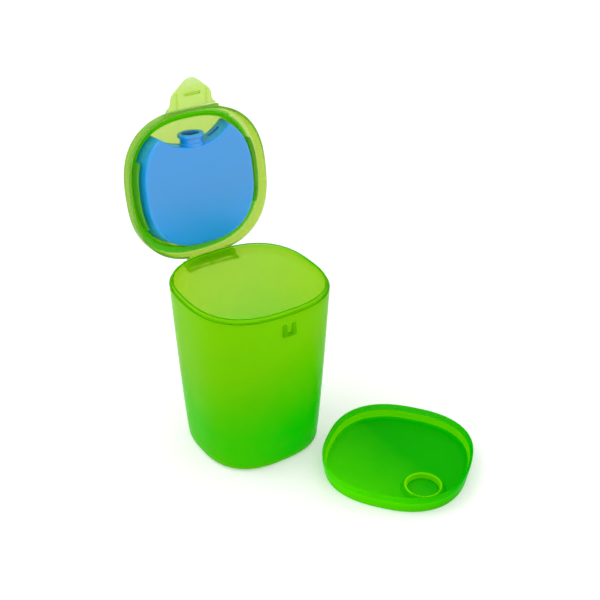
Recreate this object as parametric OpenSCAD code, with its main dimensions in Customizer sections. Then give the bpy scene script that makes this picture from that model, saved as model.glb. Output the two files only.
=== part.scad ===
// Snack container for a small child: a cup with a flip-up lid, a cold pack that
// clips into the lid, and a shallow snack tray that lies beside the cup.
// The cup stands on z = 0 with its middle on the z axis. The front, with the
// latch, faces -y, and the hinge is at the back, +y. All sizes are in millimetres.

/* [Cup] */
// Width of the cup across its shoulder, left to right
cup_w = 100; // [85:1:120]
// Depth of the cup across its shoulder, front to back
cup_d = 98.4; // [84:0.2:118]
// Height of the shoulder above the table
cup_h = 124; // [95:1:160]
// Width of the foot, left to right
foot_w = 85; // [72:1:95]
// Depth of the foot, front to back
foot_d = 83.6; // [71:0.2:94]
// Thickness of the side wall
cup_wall = 2; // [1.2:0.1:2.4]
// Thickness of the floor
cup_floor = 2.2; // [1.4:0.1:3.5]
// Rounding of the edge between the side and the foot
foot_round = 3.6; // [2:0.2:6]
// Width of the ring that the cup stands on
foot_ring = 5; // [3:0.5:9]
// How far the middle of the floor stands off the table
foot_recess = 0.8; // [0.4:0.1:2]
// Power of the cup's rounded-square plan, where 2 is an ellipse
plan_power = 2.62; // [2.3:0.02:3.4]
// Swell of the side between foot and shoulder, where 1 is a straight taper
side_power = 0.75; // [0.6:0.05:1]

/* [Rim] */
// Height of the collar above the shoulder
collar_h = 2.7; // [1.8:0.1:4]
// Width of the shoulder outside the collar
collar_step = 1.5; // [1:0.1:2.4]
// Thickness of the collar
collar_wall = 1.25; // [1:0.05:2]
// Height over which the collar blends into the side wall below it
collar_blend = 6; // [3:0.5:10]

/* [Catch] */
// Width of the catch on the front of the cup
catch_w = 9.6; // [8:0.2:16]
// Height of the catch
catch_h = 8.8; // [7.4:0.2:10]
// Drop from the shoulder to the top of the catch
catch_drop = 7; // [6.6:0.2:9]
// How far the catch stands out from the wall
catch_out = 1.9; // [1.4:0.1:2.6]
// Width of each upright rib of the catch
catch_rib_w = 2.7; // [2:0.1:3.6]
// Height of the shelf that joins the two ribs
catch_shelf_h = 2.2; // [1.6:0.2:3.5]

/* [Hinge] */
// Diameter of the hinge pin
pin_d = 3; // [2.4:0.1:3.4]
// Radial play between the pin and the lid's clips
pin_play = 0.08; // [0.02:0.01:0.1]
// Distance of the pin behind the cup's shoulder
pin_out = 5.2; // [4.8:0.1:7]
// Drop from the shoulder to the pin
pin_drop = 6; // [5:0.2:8]
// Length of the hinge bracket over its outer ears
hinge_len = 40; // [34:1:50]
// Thickness of each ear
ear_t = 3; // [2:0.2:4]
// Radius of each ear round the pin
ear_r = 2.3; // [2:0.1:2.6]
// Height of the pad that carries the ears
pad_h = 8; // [5:0.5:12]
// How far the pad stands out from the middle of the back wall
pad_out = 1.1; // [0.8:0.1:2]
// Height of the gusset under each ear
gusset_h = 4; // [2:0.5:8]
// Side play of each clip of the lid between its two ears
clip_play = 0.5; // [0.3:0.1:3]
// Radial thickness of the clips round the pin
clip_t = 1.25; // [1:0.05:1.5]
// Width of the mouth by which a clip snaps over the pin
clip_mouth = 2.4; // [2:0.1:2.6]
// Clearance between the bracket and the lid's free edge as it swings
swing_gap = 0.6; // [0.4:0.1:1.5]
// Angle by which the lid stands open
lid_open = 99; // [0:1:105]

/* [Lid] */
// Gap between the cup's shoulder and the lid's skirt
skirt_gap = 1; // [0.7:0.1:1.6]
// Power of the lid's plan, a little rounder than the cup's
lid_power = 2.55; // [2.3:0.01:2.8]
// Thickness of the lid
lid_wall = 1.5; // [1.2:0.1:2]
// Depth of the skirt below the ledge that meets the collar
skirt_h = 9.8; // [8:0.2:10]
// Gap between the closed lid's ledge and the collar
seat_gap = 0.3; // [0.2:0.05:0.6]
// Height of the raised middle of the lid over its ledge
well_h = 6.1; // [4:0.1:9]
// Gap between the collar and the centring ring inside it
ring_gap = 1; // [0.8:0.1:1.5]
// Thickness of the centring ring
ring_wall = 1.2; // [0.9:0.1:1.5]
// Height of the centring ring
ring_h = 1.2; // [0.6:0.1:1.3]
// Length of the two walls that hold the cold pack
holder_len = 46; // [30:1:54]
// Height of those walls below the ledge
holder_h = 8.4; // [4:0.2:9]
// Rounding of the lid's upper edges
lid_round = 2.6; // [1.6:0.2:4]
// Rounding inside the raised middle of the lid
well_round = 1.6; // [0.8:0.2:3]
// Draft of the skirt, inside and out
skirt_draft = 0.4; // [0.2:0.1:0.8]
// Fillet between the ledge and the raised middle, outside
well_fillet = 1; // [0.6:0.1:1.6]

/* [Latch] */
// Width of the latch tab at its root
latch_root_w = 35.6; // [32:0.2:40]
// Width of the latch tab without the flare at its root
latch_w = 31; // [27:0.5:34]
// Length of the latch tab from its fold line
latch_len = 21.2; // [18:0.2:24]
// Radius of the tab's two shoulders
shoulder_r = 8; // [5:0.5:10]
// Distance from the fold line to the middle of the shoulders' arcs
shoulder_y = 6; // [4:0.2:8]
// Radius of the tab's tip
tip_r = 6; // [4:0.5:8]
// How far the tip of the tab bends outwards, for a fingertip
latch_curl = 1.8; // [0.6:0.1:3]
// Thickness of the latch tab
latch_t = 1.4; // [1.1:0.1:1.8]
// Distance of the fold line in front of the skirt
latch_out = 0.9; // [0.8:0.1:1.6]
// Widening of the lip on each side, where it meets the skirt
lip_flare = 1.6; // [0.5:0.1:3]
// Tilt of the tab out of the lid's own plane at rest
latch_tilt = 12; // [0:1:25]
// Height of the bar that hooks under the catch
bar_h = 2; // [1.6:0.1:2.2]
// Width of that bar
bar_w = 11; // [8:0.5:14]
// Thickness of that bar
bar_t = 1.5; // [1:0.1:2.4]
// Gap between the bar and the underside of the catch
bar_gap = 0.5; // [0.4:0.1:0.8]
// Distance between the two long ribs of the tab
rib_apart = 22; // [18:0.5:24]
// Height and thickness of those ribs
rib_t = 0.9; // [0.6:0.1:1.4]
// Thickness of the folding film
film_t = 0.5; // [0.4:0.05:0.8]
// Size of the bevels on both sides of the film, which let the tab fold right down
groove = 0.6; // [0.4:0.05:0.7]
// Part of the tab's length that is flat, before it bends outwards
flat_part = 0.62; // [0.5:0.02:0.8]

/* [Cold pack] */
// Thickness of the cold pack
pack_t = 17.8; // [14:0.2:18]
// Gap between the cold pack and the walls that hold it
pack_gap = 0.3; // [0.2:0.05:0.8]
// Taper of the pack from its back to its face, on each side
pack_taper = 2.4; // [1:0.2:4]
// Rounding of the pack's edges
pack_round = 2.4; // [1.5:0.1:3.5]
// Thickness of the pack's blown wall
pack_wall = 1.4; // [1:0.1:2]
// Gap between the coolant and that wall
gel_gap = 0.2; // [0.1:0.05:0.4]
// How high the coolant stands in the open lid, as a share of the pack's depth
gel_fill = 0.6; // [0.3:0.05:0.7]
// Radius of the hollow in the pack's front edge
hollow_r = 39; // [32:1:46]
// Distance of the deepest point of that hollow from the pack's middle
hollow_y = 26.7; // [24:0.1:31]
// Outer diameter of the lip of the filler neck
neck_lip_d = 18.2; // [14:0.2:18.4]
// Outer diameter of the neck below its lip
neck_d = 15.4; // [12:0.2:16.4]
// Bore of the neck
neck_bore = 12.4; // [9:0.2:12.6]
// Length of the neck from the bottom of the hollow
neck_len = 8; // [6:0.2:10]
// Thickness of the lip of the neck
neck_lip_t = 2.4; // [1.6:0.1:3.5]
// Height of the thicker ring at the foot of the neck
neck_foot = 1.6; // [0.8:0.2:2.4]
// Thickness of the filler plug
plug_t = 4; // [3:0.2:6]
// Thickness of the plug's own wall and bottom
plug_wall = 1.6; // [1.2:0.1:2]
// Depth of the plug below the lip of the neck
plug_sink = 1.4; // [0.8:0.1:2.5]
// Gap between the plug and the bore
plug_gap = 0.05; // [0.02:0.01:0.1]
// Length of the two slots beside the neck
slot_len = 10.5; // [8:0.5:13]
// Width of those slots
slot_w = 3.4; // [2.4:0.2:5]
// Depth of those slots
slot_deep = 2.2; // [1:0.1:3]
// Angle of each slot round the hollow, from the middle
slot_angle = 28; // [24:0.5:31]
// Distance of the slots from the back of the pack
slot_back = 7.6; // [6:0.2:9]

/* [Snack tray] */
// Width of the tray over its band
tray_w = 100.8; // [88:0.2:116]
// Depth of the tray over its band
tray_d = 101.4; // [86:0.2:116]
// Height of the tray
tray_h = 12.8; // [10:0.2:18]
// Power of the tray's rounded-square plan
tray_power = 2.46; // [2.2:0.02:3.2]
// Thickness of the tray
tray_wall = 1.4; // [1.1:0.1:2]
// Height of the wider band round the top
band_h = 4; // [3:0.2:6]
// Step from the band to the side below it
band_step = 0.7; // [0.4:0.1:1.2]
// Draft of the side below the band
tray_draft = 0.9; // [0.2:0.1:2]
// Rounding where the band steps out, inside and out
band_round = 0.4; // [0.2:0.05:0.6]
// Height of the low foot under the tray's floor
tray_foot_h = 1.6; // [0.8:0.1:3]
// Direction of the tray from the cup, in degrees from +x
tray_side = -53; // [-75:0.2:-35]
// Turn of the tray on the table
tray_turn = 37.9; // [0:0.1:90]
// Gap between cup and tray, seen from above
tray_apart = 3.8; // [1:0.2:30]
// Diameter of the raised ring round the tray's small well, at the floor
boss_d = 31; // [27:0.5:33]
// Diameter of that ring at its top
boss_top_d = 25.4; // [24:0.2:27]
// Height of that ring above the floor
boss_h = 3.6; // [2:0.2:5]
// Bore of the small well
finger_d = 22.4; // [19:0.2:23]
// Thickness of the bottom of the small well
finger_floor = 1.2; // [1:0.1:1.8]
// Gap between the raised ring and the tray's side, along the diagonal
boss_inset = 2.5; // [1:0.5:6]

/* [Hidden] */
// points round each level of a moulded wall
plan_steps = 72;
// facets of the round parts
$fn = 48;

// heights and half sizes that several pieces share
collar_top = cup_h + collar_h;
ledge_z = collar_top + seat_gap;
free_z = ledge_z - skirt_h;
well_z = ledge_z + well_h;
lid_top = well_z + lid_wall;
lid_x = cup_w / 2 + skirt_gap + lid_wall;
lid_y = cup_d / 2 + skirt_gap + lid_wall;
well_inset = collar_step + collar_wall + ring_gap + ring_wall;
well_x = cup_w / 2 - well_inset;
well_y = cup_d / 2 - well_inset;
pin_y = cup_d / 2 + pin_out;
pin_z = cup_h - pin_drop;
// width of each clip, which fills the bay between two ears
clip_w = (hinge_len - ear_t) / 2 - ear_t - 2 * clip_play;
fold_y = -lid_y - latch_out;
fold_z = free_z + latch_t / 2;
catch_z = cup_h - catch_drop - catch_h;
pack_x = well_x - pack_gap;
pack_y = well_y - pack_gap;
pack_back = well_z - pack_gap;
neck_z = pack_back - max(pack_t, neck_lip_d) / 2;
hollow_mid = -hollow_y - hollow_r;
tray_in_x = tray_w / 2 - band_step - tray_wall;
tray_in_y = tray_d / 2 - band_step - tray_wall;
tray_floor_z = tray_foot_h + tray_wall;

// half size of the cup's side at a height, for one direction
function side(foot, top, z) = foot / 2 + (top - foot) / 2 * pow(z / cup_h, side_power);
// one level of the cup's side, drawn in by an inset: [half width, half depth, height]
function cup_level(z, inset) = [side(foot_w, cup_w, z) - inset, side(foot_d, cup_d, z) - inset, z];
// a level of a piece with upright sides
function level(hx, hy, inset, z) = [hx - inset, hy - inset, z];
// radius of a rounded-square plan in a direction
function reach(hx, hy, power, a) =
    1 / pow(pow(abs(cos(a)) / hx, power) + pow(abs(sin(a)) / hy, power), 1 / power);
// the point of a level at step i, evenly spread as seen from the middle of the square
function plan_point(l, power, i) =
    let (a = 360 * i / plan_steps, r = reach(1, 1, power, a))
    [l[0] * r * cos(a), l[1] * r * sin(a), l[2]];

// Sweeps a wall round the plan. The levels run along the wall's section, from the
// middle of the face that looks down to the middle of the face that looks up.
module swept(power, levels) {
    n = plan_steps;
    last = len(levels) - 1;
    polyhedron(
        points = [for (l = levels, i = [0:n - 1]) plan_point(l, power, i)],
        faces = concat(
            [[for (i = [0:n - 1]) i]],
            [[for (i = [n - 1:-1:0]) last * n + i]],
            [for (k = [0:last - 1], i = [0:n - 1]) [k * n + i, (k + 1) * n + i, (k + 1) * n + (i + 1) % n]],
            [for (k = [0:last - 1], i = [0:n - 1]) [k * n + i, (k + 1) * n + (i + 1) % n, k * n + (i + 1) % n]]
        ),
        convexity = 6
    );
}

// a profile in the y-z plane, pulled along x and centred on it
module along_x(length) {
    translate([-length / 2, 0, 0])
        rotate([90, 0, 90])
            linear_extrude(length) children();
}

// a cylinder along x, centred on it
module rod_x(length, r) {
    translate([-length / 2, 0, 0])
        rotate([0, 90, 0])
            cylinder(h = length, r = r);
}

// everything inside the middle of the cup's wall, from the floor to the collar
module cup_core() {
    swept(plan_power, [
        for (z = [cup_floor, cup_h / 3, cup_h * 2 / 3, cup_h - 2 * collar_blend, cup_h + 1])
            cup_level(min(z, cup_h), cup_wall / 2) + [0, 0, max(0, z - cup_h)]
    ]);
}

module cup_wall_shell() {
    // the side wall grows thicker towards the collar
    rim_inset = collar_step + collar_wall;
    edge = collar_wall / 4;
    inner_round = foot_round - cup_wall / 2;
    swept(plan_power, concat(
        [
            cup_level(0, foot_round + foot_ring + foot_recess) + [0, 0, foot_recess],
            cup_level(0, foot_round + foot_ring)
        ],
        [
            for (a = [0:22.5:90])
                cup_level(foot_round * (1 - cos(a)), foot_round * (1 - sin(a)))
        ],
        [
            for (i = [1:8])
                cup_level(foot_round + (cup_h - foot_round) * i / 8, 0)
        ],
        [
            cup_level(cup_h, collar_step),
            cup_level(cup_h, collar_step) + [0, 0, collar_h - edge],
            cup_level(cup_h, collar_step + edge) + [0, 0, collar_h],
            cup_level(cup_h, rim_inset - edge) + [0, 0, collar_h],
            cup_level(cup_h, rim_inset) + [0, 0, collar_h - edge],
            cup_level(cup_h, rim_inset)
        ],
        [
            for (i = [0:5])
                cup_level(cup_h - collar_blend - (cup_h - collar_blend - cup_floor - inner_round) * i / 5, cup_wall)
        ],
        [
            for (a = [30, 60, 90])
                cup_level(cup_floor + inner_round * (1 - sin(a)), cup_wall + inner_round * (1 - cos(a)))
        ]
    ));
}

// two upright ribs and the shelf that joins them, with lead-in slopes
module catch_relief() {
    wall_y = -side(foot_d, cup_d, catch_z);
    top_y = -side(foot_d, cup_d, catch_z + catch_h);
    for (s = [-1, 1])
        translate([s * (catch_w - catch_rib_w) / 2, 0, 0])
            along_x(catch_rib_w)
                polygon([
                    [wall_y + cup_wall, catch_z],
                    [wall_y - catch_out, catch_z],
                    [wall_y - catch_out, catch_z + catch_shelf_h],
                    [top_y - catch_out / 3, catch_z + catch_h],
                    [top_y + cup_wall, catch_z + catch_h]
                ]);
    along_x(catch_w)
        polygon([
            [wall_y + cup_wall, catch_z],
            [wall_y - catch_out, catch_z],
            [wall_y - catch_out, catch_z + catch_shelf_h / 2],
            [wall_y - catch_out / 2, catch_z + catch_shelf_h],
            [wall_y + cup_wall, catch_z + catch_shelf_h]
        ]);
}

// one ear with its gusset, drawn in the y-z plane
module ear_profile() {
    top_z = free_z - swing_gap;
    wall_y = side(foot_d, cup_d, top_z) - 3 * cup_wall;
    polygon([
        [wall_y, top_z],
        [pin_y - ear_r, top_z],
        [pin_y - ear_r, pin_z],
        [pin_y + ear_r, pin_z],
        [pin_y + ear_r, pin_z - ear_r],
        [wall_y, pin_z - ear_r - pad_h - gusset_h]
    ]);
    translate([pin_y, pin_z]) circle(r = ear_r);
}

module hinge_bracket() {
    pad_top = free_z - swing_gap;
    pad_y = side(foot_d, cup_d, pad_top);
    // three ears, the pad that carries them and the pin
    for (s = [-1, 0, 1])
        translate([s * (hinge_len - ear_t) / 2, 0, 0])
            along_x(ear_t) ear_profile();
    translate([-hinge_len / 2, pad_y - 4 * cup_wall, pad_top - pad_h])
        cube([hinge_len, 4 * cup_wall + pad_out, pad_h]);
    translate([0, pin_y, pin_z]) rod_x(hinge_len - ear_t, pin_d / 2);
}

module cup_body() {
    color([0.42, 0.80, 0.06]) {
        cup_wall_shell();
        difference() {
            union() {
                catch_relief();
                hinge_bracket();
            }
            cup_core();
        }
    }
}

// puts what is drawn on the closed lid where the lid stands open
module opened() {
    translate([0, pin_y, pin_z])
        rotate([-lid_open, 0, 0])
            translate([0, -pin_y, -pin_z]) children();
}

module lid_wall_shell() {
    r = lid_round;
    out_x = well_x + lid_wall;
    out_y = well_y + lid_wall;
    swept(lid_power, concat(
        [
            level(well_x, well_y, well_round, well_z),
            level(well_x, well_y, well_round * 0.3, well_z - well_round * 0.3),
            level(well_x, well_y, 0, well_z - well_round),
            level(well_x, well_y, 0, ledge_z - ring_h),
            level(well_x, well_y, -ring_wall, ledge_z - ring_h),
            level(well_x, well_y, -ring_wall, ledge_z),
            level(lid_x, lid_y, lid_wall + skirt_draft, ledge_z),
            level(lid_x, lid_y, lid_wall, free_z),
            level(lid_x, lid_y, 0, free_z),
            level(lid_x, lid_y, skirt_draft, ledge_z + lid_wall - r)
        ],
        [
            for (a = [30, 60, 90])
                level(lid_x, lid_y, skirt_draft + r * (1 - cos(a)), ledge_z + lid_wall - r * (1 - sin(a)))
        ],
        [
            level(out_x, out_y, -well_fillet, ledge_z + lid_wall),
            level(out_x, out_y, -well_fillet * 0.3, ledge_z + lid_wall + well_fillet * 0.6),
            level(out_x, out_y, 0, lid_top - r)
        ],
        [
            for (a = [30, 60, 90])
                level(out_x, out_y, r * (1 - cos(a)), lid_top - r * (1 - sin(a)))
        ]
    ));
}

// the two side walls that keep the cold pack in the lid
module pack_holders() {
    low = ledge_z - holder_h;
    intersection() {
        difference() {
            swept(lid_power, [
                level(well_x, well_y, -ring_wall, low),
                level(well_x, well_y, -ring_wall, ledge_z + lid_wall / 3)
            ]);
            swept(lid_power, [
                level(well_x, well_y, 0, low - 1),
                level(well_x, well_y, 0, ledge_z + 1)
            ]);
        }
        translate([-cup_w / 2, -holder_len / 2, low - 1])
            cube([cup_w, holder_len, holder_h + 3]);
    }
}

// one C-shaped clip that snaps over the pin, with its web up to the skirt
module hinge_clip() {
    bore = pin_d / 2 + pin_play;
    outer = bore + clip_t;
    web_y = lid_y - 2.5 * lid_wall;
    // the web starts a little above the skirt's free edge
    web_up = clip_t / 6;
    difference() {
        union() {
            translate([0, pin_y, pin_z]) rod_x(clip_w, outer);
            translate([-clip_w / 2, web_y, free_z + web_up])
                cube([clip_w, pin_y - web_y, pin_z + outer - free_z - web_up]);
        }
        translate([0, pin_y, pin_z]) rod_x(clip_w + 2, bore);
        translate([0, pin_y, pin_z])
            rotate([-45, 0, 0])
                translate([-clip_w / 2 - 1, 0, -clip_mouth / 2])
                    cube([clip_w + 2, 2 * outer, clip_mouth]);
    }
}

// the lip at the front that the latch folds from, wider where it meets the skirt
module latch_lip() {
    root = latch_root_w / 2;
    inner_y = -lid_y + 2 * lid_wall;
    intersection() {
        along_x(2 * latch_root_w)
            polygon([
                [fold_y + film_t, free_z + groove],
                [fold_y + film_t, free_z + latch_t],
                [inner_y, free_z + 2 * latch_t],
                [inner_y, free_z],
                [fold_y + film_t + groove, free_z]
            ]);
        linear_extrude(cup_h + lid_top)
            polygon([
                [-root, fold_y],
                [root, fold_y],
                [root + lip_flare, -lid_y],
                [root + lip_flare, inner_y],
                [-root - lip_flare, inner_y],
                [-root - lip_flare, -lid_y]
            ]);
    }
}

module lid_shell() {
    clip_x = (hinge_len - ear_t) / 4;
    color([0.72, 0.90, 0.36])
        opened() {
            lid_wall_shell();
            pack_holders();
            difference() {
                union() {
                    latch_lip();
                    for (s = [-1, 1])
                        translate([s * clip_x, 0, 0]) hinge_clip();
                }
                swept(lid_power, [
                    level(lid_x, lid_y, lid_wall / 2, free_z - 5),
                    level(lid_x, lid_y, lid_wall / 2, ledge_z)
                ]);
            }
        }
}

// points along an arc, from one angle to another
function arc(x, y, r, from, to) =
    [for (i = [0:8]) let (a = from + (to - from) * i / 8) [x + r * cos(a), y + r * sin(a)]];

// right half of the latch tab's outline, with the distance from the fold line as y
function latch_side() =
    let (
        shoulder = [latch_w / 2 - shoulder_r, shoulder_y],
        tip = [0, latch_len - tip_r],
        run = tip - shoulder,
        // direction square to the straight edge between the two arcs
        square_to = atan2(run[1], run[0]) - acos((shoulder_r - tip_r) / norm(run)),
        flare = (latch_root_w - latch_w) / 2
    )
    concat(
        [
            for (t = [0:0.125:0.875])
                [latch_w / 2 + flare * pow(1 - t, 2), film_t + (shoulder_y - film_t) * t]
        ],
        arc(shoulder[0], shoulder[1], shoulder_r, 0, square_to),
        arc(tip[0], tip[1], tip_r, square_to, 90)
    );

// outline of the latch tab, with its fold line on the x axis and its tip at -y
module latch_outline() {
    for (s = [0, 1])
        mirror([s, 0])
            polygon(concat(
                [for (p = latch_side()) [p[0], -p[1]]],
                [[-film_t, -latch_len], [-film_t, -film_t]]
            ));
}

// side view of the tab: flat, then bent outwards over its last third
module latch_section() {
    bend = latch_len * flat_part;
    steps = 8;
    function rise(t) = latch_curl * pow(t, 2);
    function at(t) = -bend - (latch_len - bend) * t;
    polygon(concat(
        [
            [0, groove - latch_t / 2],
            [-film_t, groove - latch_t / 2],
            [-film_t - groove, -latch_t / 2]
        ],
        [for (i = [0:steps]) [at(i / steps), rise(i / steps) - latch_t / 2]],
        [for (i = [steps:-1:0]) [at(i / steps), rise(i / steps) + latch_t / 2]],
        [[0, latch_t / 2]]
    ));
}

// the tab lies along -y; its hooking side is the lower one
module latch_flat() {
    // distance of the bar from the fold line, so that it comes up under the catch
    bar_y = fold_z - catch_z + bar_gap;
    // the two ribs stop just short of the bend
    rib_end = latch_len * (flat_part - 0.04);
    intersection() {
        along_x(2 * latch_root_w) latch_section();
        translate([0, 0, -latch_t])
            linear_extrude(2 * latch_t + latch_curl) latch_outline();
    }
    translate([-bar_w / 2, -bar_y - bar_t, -latch_t / 2 - bar_h])
        cube([bar_w, bar_t, bar_h + latch_t / 2]);
    for (s = [-1, 1])
        translate([s * rib_apart / 2 - rib_t / 2, -rib_end, -latch_t / 2 - rib_t])
            cube([rib_t, rib_end - latch_t, rib_t + latch_t / 2]);
    // the folding film
    translate([-latch_root_w / 2 + 1, -2 * film_t, -film_t / 2])
        cube([latch_root_w - 2, 2 * film_t, film_t]);
    rod_x(latch_root_w - 2, film_t / 2);
}

module latch_tab() {
    color([0.80, 0.94, 0.50])
        opened()
            translate([0, fold_y, fold_z])
                rotate([latch_tilt, 0, 0]) latch_flat();
}

// the pack's outer form, or a smaller one inside it
module pack_form(inset) {
    r = pack_round;
    back = pack_back - inset;
    face = pack_back - pack_t + inset;
    swept(lid_power, concat(
        [
            for (a = [0, 35, 65])
                level(pack_x, pack_y, inset + pack_taper + r * (1 - sin(a)), face + r * (1 - cos(a)))
        ],
        [level(pack_x, pack_y, inset + pack_taper, face + r)],
        [level(pack_x, pack_y, inset, back - r)],
        [for (a = [65, 35, 0]) level(pack_x, pack_y, inset + r * (1 - sin(a)), back - r * (1 - cos(a)))]
    ));
}

// a round-ended slot in the wall of the hollow
module pack_slot(s) {
    reach_in = slot_deep + 2;
    translate([0, hollow_mid, pack_back - slot_back])
        rotate([0, 0, -s * slot_angle])
            translate([0, hollow_r + slot_deep, 0])
                rotate([90, 0, 0]) {
                    for (e = [-1, 1])
                        translate([e * (slot_len - slot_w) / 2, 0, 0])
                            cylinder(h = reach_in, r = slot_w / 2);
                    translate([-(slot_len - slot_w) / 2, -slot_w / 2, 0])
                        cube([slot_len - slot_w, slot_w, reach_in]);
                }
}

// the round hollow in the pack's front edge
module hollow_cut(grow) {
    translate([0, hollow_mid, pack_back - pack_t - 5])
        cylinder(h = pack_t + 10, r = hollow_r + grow, $fn = 96);
}

// a round piece on the neck's axis, from one depth to another
module on_neck(from_y, to_y, d) {
    translate([0, -from_y, neck_z])
        rotate([90, 0, 0])
            cylinder(h = to_y - from_y, d = d);
}

module ice_pack_shell() {
    neck_end = hollow_y + neck_len;
    // the neck starts inside the blown wall
    neck_root = hollow_y - pack_wall * 0.85;
    color([0.24, 0.62, 0.90])
        opened()
            difference() {
                union() {
                    difference() {
                        pack_form(0);
                        hollow_cut(0);
                    }
                    on_neck(neck_root, neck_end, neck_d);
                    on_neck(neck_end - neck_lip_t, neck_end, neck_lip_d);
                    on_neck(neck_root, hollow_y + neck_foot, (neck_lip_d + neck_d) / 2);
                }
                difference() {
                    pack_form(pack_wall);
                    hollow_cut(pack_wall);
                }
                on_neck(hollow_y - pack_wall - 2, neck_end + 1, neck_bore);
                for (s = [-1, 1]) pack_slot(s);
            }
}

module ice_pack_plug() {
    neck_end = hollow_y + neck_len;
    plug_end = neck_end - plug_sink;
    color([0.16, 0.52, 0.82])
        opened()
            difference() {
                on_neck(plug_end - plug_t, plug_end, neck_bore - 2 * plug_gap);
                on_neck(plug_end - plug_t + plug_wall, plug_end + 1, neck_bore - 2 * plug_wall);
            }
}

// coolant with room to swell as it freezes, level while the lid stands open
module cooling_gel() {
    big = 2 * pack_y;
    color([0.55, 0.80, 0.95])
        opened()
            difference() {
                pack_form(pack_wall + gel_gap);
                translate([0, pack_y * (1 - 2 * gel_fill), pack_back - pack_t / 2])
                    rotate([lid_open - 90, 0, 0])
                        translate([-big, -2 * big, -big])
                            cube([2 * big, 2 * big, 2 * big]);
            }
}

// the tray's wall, from under its floor over the rim to the top of its floor
module tray_shell() {
    w = tray_wall;
    edge = w / 3;
    side_x = tray_w / 2 - band_step;
    side_y = tray_d / 2 - band_step;
    swept(tray_power, [
        level(side_x, side_y, tray_draft + 3 * w, tray_foot_h),
        level(side_x, side_y, tray_draft + 3 * w - tray_foot_h, 0),
        level(side_x, side_y, tray_draft + w, 0),
        level(side_x, side_y, tray_draft + w / 3, w / 3),
        level(side_x, side_y, tray_draft, w),
        level(side_x, side_y, 0, tray_h - band_h - band_round),
        level(tray_w / 2, tray_d / 2, band_round / 2, tray_h - band_h),
        level(tray_w / 2, tray_d / 2, 0, tray_h - band_h + band_round),
        level(tray_w / 2, tray_d / 2, 0, tray_h - edge),
        level(tray_w / 2, tray_d / 2, edge, tray_h),
        level(tray_w / 2, tray_d / 2, w - edge, tray_h),
        level(tray_w / 2, tray_d / 2, w, tray_h - edge),
        level(tray_w / 2, tray_d / 2, w, tray_h - band_h + 2 * band_round),
        level(tray_in_x, tray_in_y, 0, tray_h - band_h),
        level(tray_in_x, tray_in_y, tray_draft, tray_floor_z + w),
        level(tray_in_x, tray_in_y, tray_draft + w / 3, tray_floor_z + w / 3),
        level(tray_in_x, tray_in_y, tray_draft + w, tray_floor_z)
    ]);
}

module snack_tray() {
    // the small well lies on the diagonal, near the side of the tray
    diagonal = reach(tray_in_x, tray_in_y, tray_power, 45) - boss_inset - boss_d / 2;
    boss_x = -diagonal * cos(45);
    well_foot = 0.2;
    far = reach(cup_w / 2, cup_d / 2, plan_power, tray_side) + tray_apart
        + reach(tray_w / 2, tray_d / 2, tray_power, tray_side + 180 - tray_turn);
    color([0.16, 0.70, 0.02])
        translate([far * cos(tray_side), far * sin(tray_side), 0])
            rotate([0, 0, tray_turn])
                difference() {
                    union() {
                        tray_shell();
                        translate([boss_x, boss_x, tray_floor_z - tray_wall / 2])
                            cylinder(h = boss_h + tray_wall / 2, d1 = boss_d, d2 = boss_top_d);
                        translate([boss_x, boss_x, well_foot])
                            cylinder(h = tray_floor_z - well_foot, d = boss_top_d);
                    }
                    translate([boss_x, boss_x, well_foot + finger_floor])
                        cylinder(h = tray_h, d = finger_d);
                }
}

cup_body();
lid_shell();
latch_tab();
ice_pack_shell();
ice_pack_plug();
cooling_gel();
snack_tray();
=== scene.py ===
# Snack container for a small child: cup, lid with latch, cold pack and snack tray.
# Pieces are drawn in millimetres round the cup's own axis and scaled to metres at the end.
import math

import bmesh
import bpy
from mathutils import Matrix, Quaternion, Vector


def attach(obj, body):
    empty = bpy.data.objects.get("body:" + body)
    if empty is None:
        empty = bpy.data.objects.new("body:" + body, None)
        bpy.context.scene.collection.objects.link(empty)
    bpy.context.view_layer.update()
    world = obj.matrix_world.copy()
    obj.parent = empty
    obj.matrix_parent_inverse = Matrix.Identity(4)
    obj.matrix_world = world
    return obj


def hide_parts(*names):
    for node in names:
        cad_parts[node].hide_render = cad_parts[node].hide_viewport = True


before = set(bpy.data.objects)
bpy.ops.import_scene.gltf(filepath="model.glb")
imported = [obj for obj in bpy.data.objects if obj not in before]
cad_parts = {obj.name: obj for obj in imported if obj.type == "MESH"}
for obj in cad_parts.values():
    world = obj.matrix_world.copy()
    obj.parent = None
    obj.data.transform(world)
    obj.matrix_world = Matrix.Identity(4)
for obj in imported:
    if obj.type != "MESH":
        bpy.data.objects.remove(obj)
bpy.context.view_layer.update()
mm = 0.001
print("Frame loaded")


# Camera and light

view = {
    "place": (-0.3182, -0.5420, 0.4853),
    "looks": (0.4738, 0.7159, -0.5128),
    "roll": 0.197,  # degrees
    "lens": 65.28,
}
camera = bpy.data.objects.new("camera", bpy.data.cameras.new("camera"))
camera.data.lens = view["lens"]
camera.data.sensor_width = 36
camera.data.clip_start = 0.01
camera.data.clip_end = 50
camera.location = view["place"]
camera.rotation_mode = "QUATERNION"
camera.rotation_quaternion = Vector(view["looks"]).to_track_quat("-Z", "Y") @ Quaternion((0, 0, 1), math.radians(view["roll"]))
bpy.context.scene.collection.objects.link(camera)
bpy.context.scene.camera = camera
bpy.context.scene.view_settings.view_transform = "Standard"


def hexColour(code, alpha=1.0):
    # sRGB hex to the linear colour that the nodes want
    parts = [int(code[i:i + 2], 16) / 255 for i in (0, 2, 4)]
    return tuple(p / 12.92 if p <= 0.04045 else ((p + 0.055) / 1.055) ** 2.4 for p in parts) + (alpha,)


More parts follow.
